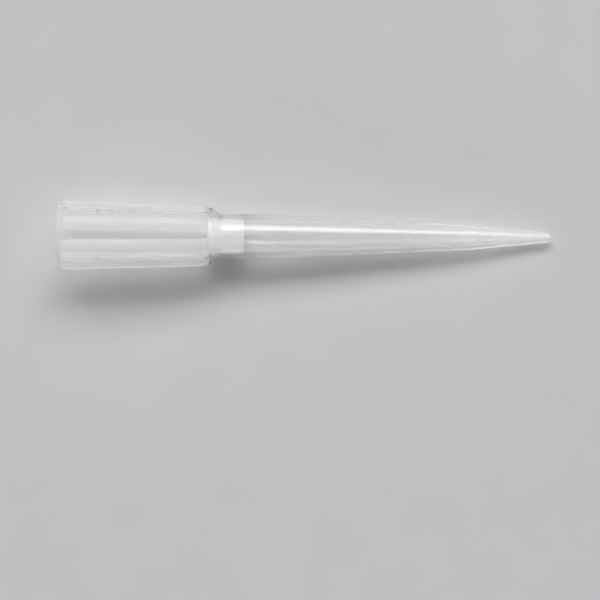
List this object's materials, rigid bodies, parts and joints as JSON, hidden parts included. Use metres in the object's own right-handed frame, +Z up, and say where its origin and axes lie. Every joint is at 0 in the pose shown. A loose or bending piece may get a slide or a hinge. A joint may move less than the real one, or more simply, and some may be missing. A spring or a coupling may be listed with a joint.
{
  "type": "pipette tip",
  "caption": "Filtered pipette tip: a ribbed conical collar that pushes onto a pipette, a white porous plug in its neck, and a long tapered tube ending in a fine orifice.",
  "frame": {"origin": "centre of the box round the tip, on the surface that it lies on", "axes": "+X from the mouth of the collar to the point, +Z up from the surface, +Y across the tip"},
  "size_m": [0.0512, 0.007, 0.0075],
  "materials": {
    "tube_plastic": "natural translucent polypropylene, injection moulded, satin to glossy",
    "porous_plug": "white sintered porous polyethylene, matte"
  },
  "bodies": {
    "root": {"tube": "tube_plastic", "filter_plug": "porous_plug"}
  },
  "joints": []
}
